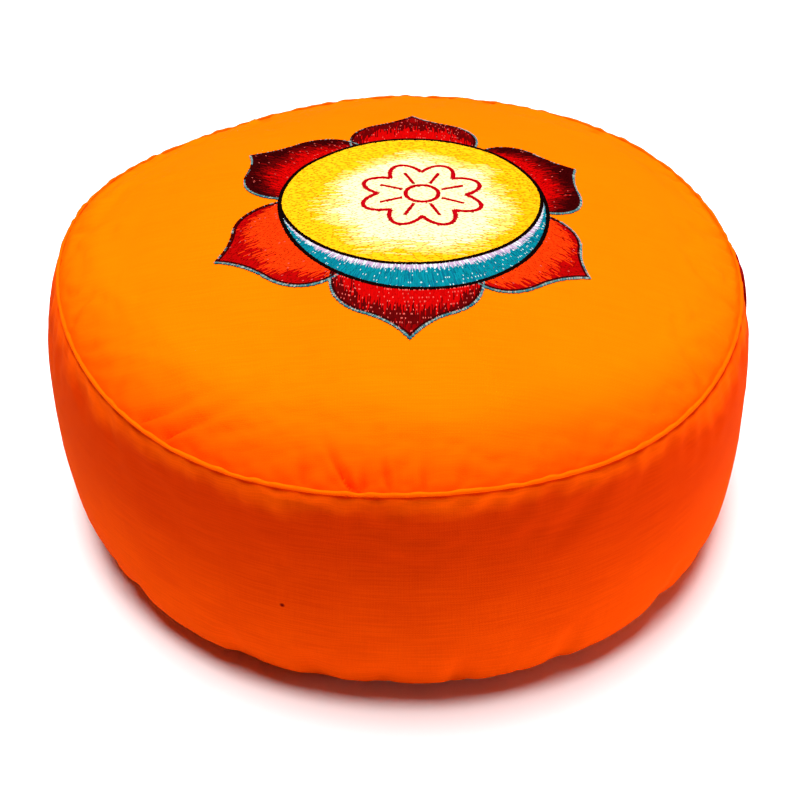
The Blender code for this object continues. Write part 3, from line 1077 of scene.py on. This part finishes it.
def build_strap():
    half_turn = STRAP_WIDTH / 2 / BULGE_RADIUS
    across = np.linspace(-1.0, 1.0, STRAP_COLUMNS)
    azimuth = math.radians(STRAP_AZIMUTH_DEG) + across * half_turn
    skin = np.stack([in_space(azimuth, *row(azimuth)) for row in strap_sections()])
    down = np.gradient(skin, axis=0)
    side = np.gradient(skin, axis=1)
    out = np.cross(down, side)
    out /= np.linalg.norm(out, axis=-1, keepdims=True)
    middle = skin[:, STRAP_COLUMNS // 2]
    run = np.cumsum(np.linalg.norm(np.diff(middle, axis=0, prepend=middle[:1]), axis=-1))
    inside = (1.0 - np.abs(across) ** STRAP_EDGE_POWER)[None, :]
    ribs = 0.5 + 0.5 * np.cos(2 * math.pi * run / STRAP_RIB_PITCH)[:, None]
    at_edge, further_in, in_ribs = STRAP_LAYERS
    thick = STRAP_THICKNESS * (at_edge + further_in * inside + in_ribs * ribs * inside)
    outer = skin + out * (STRAP_GAP + thick)[..., None]
    inner = skin + out * (STRAP_GAP + STRAP_THICKNESS * STRAP_UNDER_EDGE * (1.0 - inside))[..., None]
    loops = np.concatenate([outer, inner[:, ::-1]], axis=1)
    rows, around = loops.shape[:2]
    faces = [tuple(f) for f in ring_faces(rows, around)]
    last = (rows - 1) * around
    faces.append(tuple(range(around))[::-1])
    faces.append(tuple(range(last, last + around)))
    return add_mesh("strap_webbing", loops.reshape(-1, 3), faces)


# The stitched motif


def cover_heights(cover):
    """A function that gives the cover's height at points in plan."""
    tree = BVHTree.FromObject(cover, bpy.context.evaluated_depsgraph_get())
    ticks = np.linspace(-MOTIF_REACH, MOTIF_REACH, HEIGHT_STEPS)
    grid = np.empty((HEIGHT_STEPS, HEIGHT_STEPS))
    down = Vector((0.0, 0.0, -1.0))
    for i, x in enumerate(ticks):
        for j, y in enumerate(ticks):
            grid[i, j] = tree.ray_cast(Vector((x, y, 1.0)), down)[0].z

    def height(x, y):
        last = HEIGHT_STEPS - 1
        u, v = (np.clip((np.asarray(way) + MOTIF_REACH) / (2 * MOTIF_REACH) * last, 0, last - 0.001)
                for way in (x, y))
        i, j = u.astype(int), v.astype(int)
        du, dv = u - i, v - j
        low = grid[i, j] * (1 - dv) + grid[i, j + 1] * dv
        high = grid[i + 1, j] * (1 - dv) + grid[i + 1, j + 1] * dv
        return low * (1 - du) + high * du

    return height


def add_coloured(name, points, faces, colours, material):
    """A mesh with a colour at each of its points."""
    piece = add_mesh(name, points, faces)
    shade = piece.data.color_attributes.new("thread", "FLOAT_COLOR", "POINT")
    rgba = np.ones((len(points), 4), np.float32)
    rgba[:, :3] = colours * THREAD_SHADE
    shade.data.foreach_set("color", rgba.ravel())
    paint(piece, material)
    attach(piece, "root")
    return piece


def stitch_mesh(name, starts, ends, colours, lift, height, material, width=STITCH_WIDTH):
    """One arched thread from each start to its end, both in plan from the motif's middle."""
    starts, ends, colours = np.asarray(starts), np.asarray(ends), np.asarray(colours)
    run = ends - starts
    length = np.linalg.norm(run, axis=1, keepdims=True)
    side = np.stack([-run[:, 1], run[:, 0]], axis=1) / np.maximum(length, 1e-9) * width / 2
    points = np.empty((len(starts), 4, 3, 3))
    for station, (share, arch) in enumerate(STITCH_STATIONS):
        middle = starts + run * share
        narrow = STITCH_END_WIDTH if arch < 0 else 1.0
        for column, (shift, raised) in enumerate(((-1.0, 0.0), (0.0, 1.0), (1.0, 0.0))):
            place = middle + side * shift * narrow + np.array(MOTIF_CENTRE)
            points[:, station, column, :2] = place
            rise = lift + STITCH_HEIGHT * (arch + STITCH_ROUND * raised)
            points[:, station, column, 2] = height(place[:, 0], place[:, 1]) + rise
    grid = np.arange(12).reshape(4, 3)
    quads = np.stack([grid[:-1, :-1], grid[:-1, 1:], grid[1:, 1:], grid[1:, :-1]], axis=-1).reshape(-1, 4)
    faces = (quads[None] + 12 * np.arange(len(starts))[:, None, None]).reshape(-1, 4)
    shade = np.repeat(colours, 12, axis=0)
    return add_coloured(name, points.reshape(-1, 3), faces, shade, material)


def picked(names, draw, wobble):
    """The colour of each named thread, a little lighter or darker from stitch to stitch."""
    colours = np.array([THREADS[name] for name in names])
    return np.clip(colours * (1.0 + wobble * draw.normal(size=(len(names), 1))), 0.0, 1.0)


def cut_line(low, high, draw, length=STITCH_LENGTH):
    """A line cut into stitches whose ends fall unevenly."""
    cuts = np.arange(low - draw.uniform(0, length), high, length)[1:]
    cuts = cuts + draw.uniform(-CUT_UNEVEN, CUT_UNEVEN, len(cuts)) * length
    cuts = [low, *[c for c in cuts if low + CUT_LEAST < c < high - CUT_LEAST], high]
    return list(zip(cuts[:-1], cuts[1:]))


def ellipse_radius(angle, wide, deep):
    return 1.0 / np.sqrt((np.cos(angle) / wide) ** 2 + (np.sin(angle) / deep) ** 2)


def disc_edge(angle):
    """Distance of the motif's round outline from its middle, at an angle."""
    turned = angle - math.radians(CRESCENT_TILT_DEG)
    return np.where(np.sin(turned) < 0, ellipse_radius(turned, DISC_RADIUS, DISC_DEPTH), DISC_RADIUS)


def yellow_edge(angle):
    """Distance of the edge of the yellow, which the crescent cuts off below."""
    turned = angle - math.radians(CRESCENT_TILT_DEG)
    squares = (np.cos(turned) / CRESCENT_WIDE) ** 2 + (np.sin(turned) / CRESCENT_DEEP) ** 2
    slide = CRESCENT_BACK * np.sin(turned) / CRESCENT_DEEP ** 2
    rest = 1.0 - (CRESCENT_BACK / CRESCENT_DEEP) ** 2
    return np.minimum((slide + np.sqrt(slide ** 2 + squares * rest)) / squares, YELLOW_RADIUS)


def rays(angle):
    """Unit steps in plan at some angles."""
    return np.stack([np.cos(angle), np.sin(angle)], -1)


def bezier(control, count):
    t = np.linspace(0.0, 1.0, count)[:, None]
    a, b, c, d = (np.array(point) for point in control)
    return a * (1 - t) ** 3 + 3 * b * t * (1 - t) ** 2 + 3 * c * t * t * (1 - t) + d * t ** 3


def petal_side(length, width):
    """One side of a petal from its root to its tip: along the axis and across it."""
    side = np.concatenate([bezier(PETAL_SHOULDER, 60), bezier(PETAL_TIP, 60)[1:]])
    root = PETAL_SHOULDER[0][0]
    along = root + (side[:, 0] - root) * (length - root) / (PETAL_LENGTH - root)
    return np.stack([along, side[:, 1] * width], axis=1)


def turned(points, angle):
    """Points of a petal's own frame, turned on to its axis."""
    c, s = math.cos(angle), math.sin(angle)
    points = np.asarray(points)
    return np.stack([points[..., 0] * c - points[..., 1] * s, points[..., 0] * s + points[..., 1] * c], -1)


def petal_halves():
    """Each half of each petal: the petal's axis and length, the half's side and edge, and its threads."""
    for tip_deg, length, wide_up, wide_down, kind in PETALS:
        for sign, width in ((1.0, wide_up), (-1.0, wide_down)):
            yield math.radians(tip_deg), length, sign, petal_side(length, width), kind


def petal_thread(kind, share, draw):
    """Which thread a stitch takes, by its share of the way from the root to the outline."""
    place = share + PETAL_BLEND * draw.normal()
    return next(name for limit, name in PETAL_THREADS[kind] if place < limit)


def petal_stitches(draw):
    starts, ends, names = [], [], []
    for angle, length, sign, side, kind in petal_halves():
        widest = int(np.argmax(side[:, 1]))
        for across in np.arange(STITCH_PITCH / 2, side[widest, 1] - 0.0003, STITCH_PITCH):
            outer = np.interp(-across, -side[widest:, 1], side[widest:, 0])
            rim = float(disc_edge(angle + sign * math.atan2(across, PETAL_ROOT_RADIUS)))
            root = math.sqrt(max(rim ** 2 - across ** 2, 0.0)) - PETAL_UNDER_DISC
            if across > side[0, 1]:
                root = max(root, float(np.interp(across, side[:widest + 1, 1], side[:widest + 1, 0])))
            if outer - root < PETAL_LEAST:
                continue
            for low, high in cut_line(root, outer, draw):
                starts.append(turned((low, sign * across), angle))
                ends.append(turned((high, sign * across), angle))
                share = ((low + high) / 2 - root) / (length - PETAL_TIP_SET - root)
                at_side = max(0.0, across / side[widest, 1] - PETAL_CORE)
                names.append(petal_thread(kind, share + at_side, draw))
    return starts, ends, names


def glint_stitches(starts, ends, draw, chances):
    """Short bright stretches where single stitches catch the light, in rows round the motif's middle."""
    starts, ends = np.asarray(starts), np.asarray(ends)
    chosen = draw.random(len(starts)) < chances
    starts, ends = starts[chosen], ends[chosen]
    run = ends - starts
    length = np.maximum(np.linalg.norm(run, axis=1, keepdims=True), 1e-9)
    away = np.linalg.norm(starts, axis=1, keepdims=True)
    row = np.ceil(away / GLINT_ROW + draw.uniform(-GLINT_UNEVEN, GLINT_UNEVEN, away.shape)) * GLINT_ROW
    along = np.minimum(np.maximum(row - away, 0.0), np.maximum(length - GLINT_LENGTH, 0.0))
    at = starts + run / length * along
    return at, at + run / length * GLINT_LENGTH


def satin(path, width, draw, slant, closed=False, ragged=0.10):
    """Short stitches side by side across a path of points in plan."""
    path = np.asarray(path)
    if closed:
        path = np.concatenate([path, path[:1]])
    steps = np.linalg.norm(np.diff(path, axis=0), axis=1)
    run = np.concatenate([[0.0], np.cumsum(steps)])
    at = np.arange(0.0, run[-1], STITCH_PITCH)

    def on_path(place):
        return np.stack([np.interp(place, run, path[:, 0]), np.interp(place, run, path[:, 1])], 1)

    ahead = on_path(at + 0.0004) - on_path(at - 0.0004)
    ahead /= np.maximum(np.linalg.norm(ahead, axis=1, keepdims=True), 1e-9)
    cross = np.stack([-ahead[:, 1], ahead[:, 0]], 1) + slant * ahead
    half = width / 2 * (1.0 + ragged * draw.normal(size=(len(at), 1)))
    middle = on_path(at)
    return middle - cross * half, middle + cross * half


def joined_parts(parts):
    """The starts and the ends of several runs of stitches, each joined into one."""
    return (np.concatenate([part[end] for part in parts]) for end in (0, 1))


def disc_thread(x, y, draw):
    """Cream in the middle of the disc, yellow towards its rim."""
    patches = math.sin(150.0 * x + 2.2 * math.sin(120.0 * y))
    uneven = DISC_UNEVEN * patches + DISC_UNEVEN * draw.normal()
    (middle_x, middle_y), (wide, deep) = DISC_PALE_MIDDLE, DISC_PALE_RADII
    place = math.hypot((x - middle_x) / wide, (y - middle_y) / deep) + uneven
    if place < CREAM_TO:
        return "cream"
    if place < LEMON_TO:
        return "lemon"
    return "gold" if draw.random() < GOLD_SHARE + GOLD_TO_RIGHT * max(x, 0.0) else "yellow"


def disc_stitches(draw):
    starts, ends, names = [], [], []
    angle = np.linspace(0.0, 2 * math.pi, 721)
    edge_x, edge_y = yellow_edge(angle) * np.cos(angle), yellow_edge(angle) * np.sin(angle)
    for y in np.arange(edge_y.min() + 0.0004, edge_y.max() - 0.0003, STITCH_PITCH):
        low = np.interp(y, *sorted_side(edge_x, edge_y, -1.0))
        high = np.interp(y, *sorted_side(edge_x, edge_y, 1.0))
        if high - low < 0.002:
            continue
        for start, end in cut_line(low, high, draw, STITCH_LENGTH * DISC_STITCH):
            starts.append((start, y))
            ends.append((end, y))
            names.append(disc_thread((start + end) / 2, y, draw))
    return starts, ends, names


def sorted_side(edge_x, edge_y, sign):
    """The outline's heights and sideways places on one side, in order of height."""
    low, high = int(np.argmin(edge_y)), int(np.argmax(edge_y))
    x, y = np.roll(edge_x[:-1], -low), np.roll(edge_y[:-1], -low)
    top = int(np.argmax(y))
    if sign > 0:
        return y[:top + 1], x[:top + 1]
    return np.concatenate([y[top:], y[:1]])[::-1], np.concatenate([x[top:], x[:1]])[::-1]


def crescent_stitches(draw):
    """Teal stitches in from the outline that interlock with lavender ones along the yellow's edge."""
    starts, ends, names = [], [], []
    tilt = math.radians(CRESCENT_TILT_DEG)
    turn = math.radians(CRESCENT_FROM_DEG)
    while turn < math.radians(CRESCENT_TO_DEG):
        angle = turn + tilt
        outer = float(disc_edge(angle)) - CRESCENT_INSET
        inner = float(yellow_edge(angle)) + CRESCENT_INSET
        ray = np.array([math.cos(angle), math.sin(angle)])
        if outer - inner > CRESCENT_LEAST:
            pale_depth = min((outer - inner) * PALE_DEPTH_SHARE, PALE_DEPTH_MOST)
            meet = inner + pale_depth * draw.uniform(*PALE_RAGGED)
            for low, high in cut_line(meet, outer, draw, CRESCENT_STITCH):
                starts.append(ray * low)
                ends.append(ray * high)
                names.append("teal" if draw.random() < TEAL_SHARE else "deep_teal")
            starts.append(ray * inner)
            ends.append(ray * (meet + 0.0004))
            names.append("lavender" if draw.random() < LAVENDER_SHARE else "pale")
        turn += STITCH_PITCH / outer
    return starts, ends, names


def outline_stitches(draw):
    """The black lines round the disc and along the crescent's upper edge."""
    angle = np.linspace(0.0, 2 * math.pi, 900, endpoint=False)
    ring = rays(angle) * (disc_edge(angle) - 0.0003)[:, None]
    arc = np.linspace(math.radians(CRESCENT_FROM_DEG), math.radians(CRESCENT_TO_DEG), 500)
    arc = arc + math.radians(CRESCENT_TILT_DEG)
    cut = rays(arc) * (yellow_edge(arc) + 0.0002)[:, None]
    parts = [satin(ring, OUTLINE_WIDTH, draw, OUTLINE_SLANT, closed=True),
             satin(cut, OUTLINE_WIDTH * CUT_LINE_WIDTH, draw, OUTLINE_SLANT)]
    starts, ends = joined_parts(parts)
    return starts, ends, ["black"] * len(starts)


def petal_outlines(draw, inset, width, slant, ragged):
    """Stitches along the outline of each petal, this far inside it."""
    parts = []
    for tip_deg, length, wide_up, wide_down, _ in PETALS:
        angle = math.radians(tip_deg)
        up, down = petal_side(length, wide_up), petal_side(length, wide_down)
        whole = np.concatenate([up, (down * (1.0, -1.0))[::-1][1:]])
        ahead = np.gradient(whole, axis=0)
        ahead /= np.maximum(np.linalg.norm(ahead, axis=1, keepdims=True), 1e-9)
        outward = np.stack([-ahead[:, 1], ahead[:, 0]], 1)
        whole = turned(whole - outward * inset, angle)
        keep = np.linalg.norm(whole, axis=1) > disc_edge(np.arctan2(whole[:, 1], whole[:, 0])) - 0.0002
        parts.append(satin(whole[keep], width, draw, slant, ragged=ragged))
    return joined_parts(parts)


def rosette_stitches(draw):
    """A plain flower of stitched lines in the middle of the disc."""
    middle = np.array(ROSETTE_CENTRE)
    angle = np.linspace(0.0, 2 * math.pi, 900, endpoint=False)
    wave = ROSETTE_RADIUS + ROSETTE_WAVE * np.abs(np.sin(ROSETTE_LOBES / 2 * angle))
    parts = []
    for path in (rays(angle) * wave[:, None] + middle, rays(angle) * ROSETTE_RING + middle):
        parts.append(satin(path, ROSETTE_LINE, draw, ROSETTE_SLANT, closed=True))
    for lobe in range(ROSETTE_LOBES):
        turn = 2 * math.pi * (lobe + 0.5) / ROSETTE_LOBES
        ray = np.array([math.cos(turn), math.sin(turn)])
        line = middle + np.outer(np.linspace(ROSETTE_RING + 0.0025, ROSETTE_RADIUS + 0.0005, 20), ray)
        parts.append(satin(line, ROSETTE_LINE * ROSETTE_RAY, draw, ROSETTE_SLANT))
    starts, ends = joined_parts(parts)
    return starts, ends, ["crimson"] * len(starts)


def build_underlay(height, material):
    """The padding cloth of thread under the disc and the petals, so that no orange shows between stitches."""
    points, faces, colours = [], [], []

    def grid(place, colour):
        base = sum(len(block) for block in points)
        rows, columns = place.shape[:2]
        x, y = place[..., 0] + MOTIF_CENTRE[0], place[..., 1] + MOTIF_CENTRE[1]
        points.append(np.stack([x, y, height(x, y) + UNDERLAY_LIFT], -1).reshape(-1, 3))
        index = base + np.arange(rows * columns).reshape(rows, columns)
        corners = (index[:-1, :-1], index[1:, :-1], index[1:, 1:], index[:-1, 1:])
        faces.append(np.stack(corners, -1).reshape(-1, 4))
        colours.append(colour.reshape(-1, 3))

    angle = np.linspace(0.0, 2 * math.pi, 181)[None, :]
    share = np.linspace(0.02, 0.995, 60)[:, None]
    reach = share * disc_edge(angle)
    inside = (reach < yellow_edge(angle))[..., None]
    colour = np.where(inside, np.array(THREADS["lemon"]), np.array(THREADS["deep_teal"]))
    grid(reach[..., None] * rays(angle), colour)
    for axis, _, sign, side, kind in petal_halves():
        across = np.linspace(0.0, 0.97, 24)[:, None] * side[None, :, 1]
        along = np.broadcast_to(side[None, :, 0], across.shape)
        place = turned(np.stack([along, sign * across], -1), axis)
        if sign < 0:
            place = place[:, ::-1]
        name = "orange_red" if kind == "low_side" else "dark_red"
        grid(place, np.broadcast_to(np.array(THREADS[name]), (*across.shape, 3)))
    return add_coloured("motif_underlay", np.concatenate(points), np.concatenate(faces),
                        np.concatenate(colours), material)


def build_motif(cover):
    height = cover_heights(cover)
    silk = thread("embroidery_thread")
    build_underlay(height, silk)
    draw = np.random.default_rng(SEED + 3)

    def sew(name, starts, ends, threads, lift, width=STITCH_WIDTH):
        colours = picked(threads, draw, DYE[name])
        stitch_mesh(name, starts, ends, colours, lift, height, silk, width)

    starts, ends, names = petal_stitches(draw)
    sew("petal_stitches", starts, ends, names, FILL_LIFT)
    # Painted highlights on the petals: short pale stitches laid over some of them, most in front of the disc,
    # in rows.
    places = np.asarray(starts)
    in_front = np.abs(places[:, 0]) < GLINT_FRONT_HALF
    before, behind, elsewhere = GLINT_SHARES
    chances = np.where(in_front, np.where(places[:, 1] < 0.0, before, behind), elsewhere)
    starts, ends = glint_stitches(starts, ends, draw, chances)
    sew("petal_glints", starts, ends, ["glint_highlight"] * len(starts), GLINT_LIFT, GLINT_WIDTH)
    starts, ends, names = disc_stitches(draw)
    sew("disc_stitches", starts, ends, names, FILL_LIFT)
    starts, ends, names = crescent_stitches(draw)
    sew("crescent_stitches", starts, ends, names, FILL_LIFT)
    # Painted highlights on the crescent, in the pale thread's colour.
    starts, ends = glint_stitches(starts, ends, draw, CRESCENT_GLINT_SHARE)
    sew("crescent_glints", starts, ends, ["pale"] * len(starts), GLINT_LIFT, GLINT_WIDTH)
    starts, ends = petal_outlines(draw, *INNER_LINE)
    sew("petal_inner_lines", starts, ends, ["maroon"] * len(starts), LINE_LIFT)
    starts, ends = petal_outlines(draw, *EDGING)
    run = ends - starts
    faces_back = run[:, 1] > EDGING_FACES_BACK * np.linalg.norm(run, axis=1)
    edging = []
    for back in faces_back:
        threads, shares = EDGING_BACK if back else EDGING_FRONT
        edging.append(draw.choice(threads, p=shares))
    sew("petal_edging", starts, ends, edging, LINE_LIFT)
    starts, ends, names = outline_stitches(draw)
    sew("disc_outline", starts, ends, names, OUTLINE_LIFT)
    starts, ends, names = rosette_stitches(draw)
    sew("rosette", starts, ends, names, OUTLINE_LIFT)


build_camera()
build_stage()
build_light()

# Lit and shaded copies of one cotton: painted light on the crown, painted shade on the band.
flat_cotton = cotton("orange_cotton_flat", False, CROWN_ORANGE, CROWN_RIM_SHADE_ORANGE)
round_cotton = cotton("orange_cotton_band", True, BAND_ORANGE, BAND_SHADE_ORANGE)
# A lighter copy of the cotton for the welt: painted light on its ridge.
welt_cotton = cotton("orange_cotton_welt", True, WELT_LIT_ORANGE, WELT_LIT_ORANGE)
cover = build_cover(flat_cotton, round_cotton)
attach(cover, "root")
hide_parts("cushion")

welt = build_welt()
paint(welt, welt_cotton)
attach(welt, "root")
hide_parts("seam_welt")

strap = build_strap()
paint(strap, webbing("dark_red_webbing_cloth", STRAP_RED))
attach(strap, "root")
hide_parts("carry_strap")

build_motif(cover)
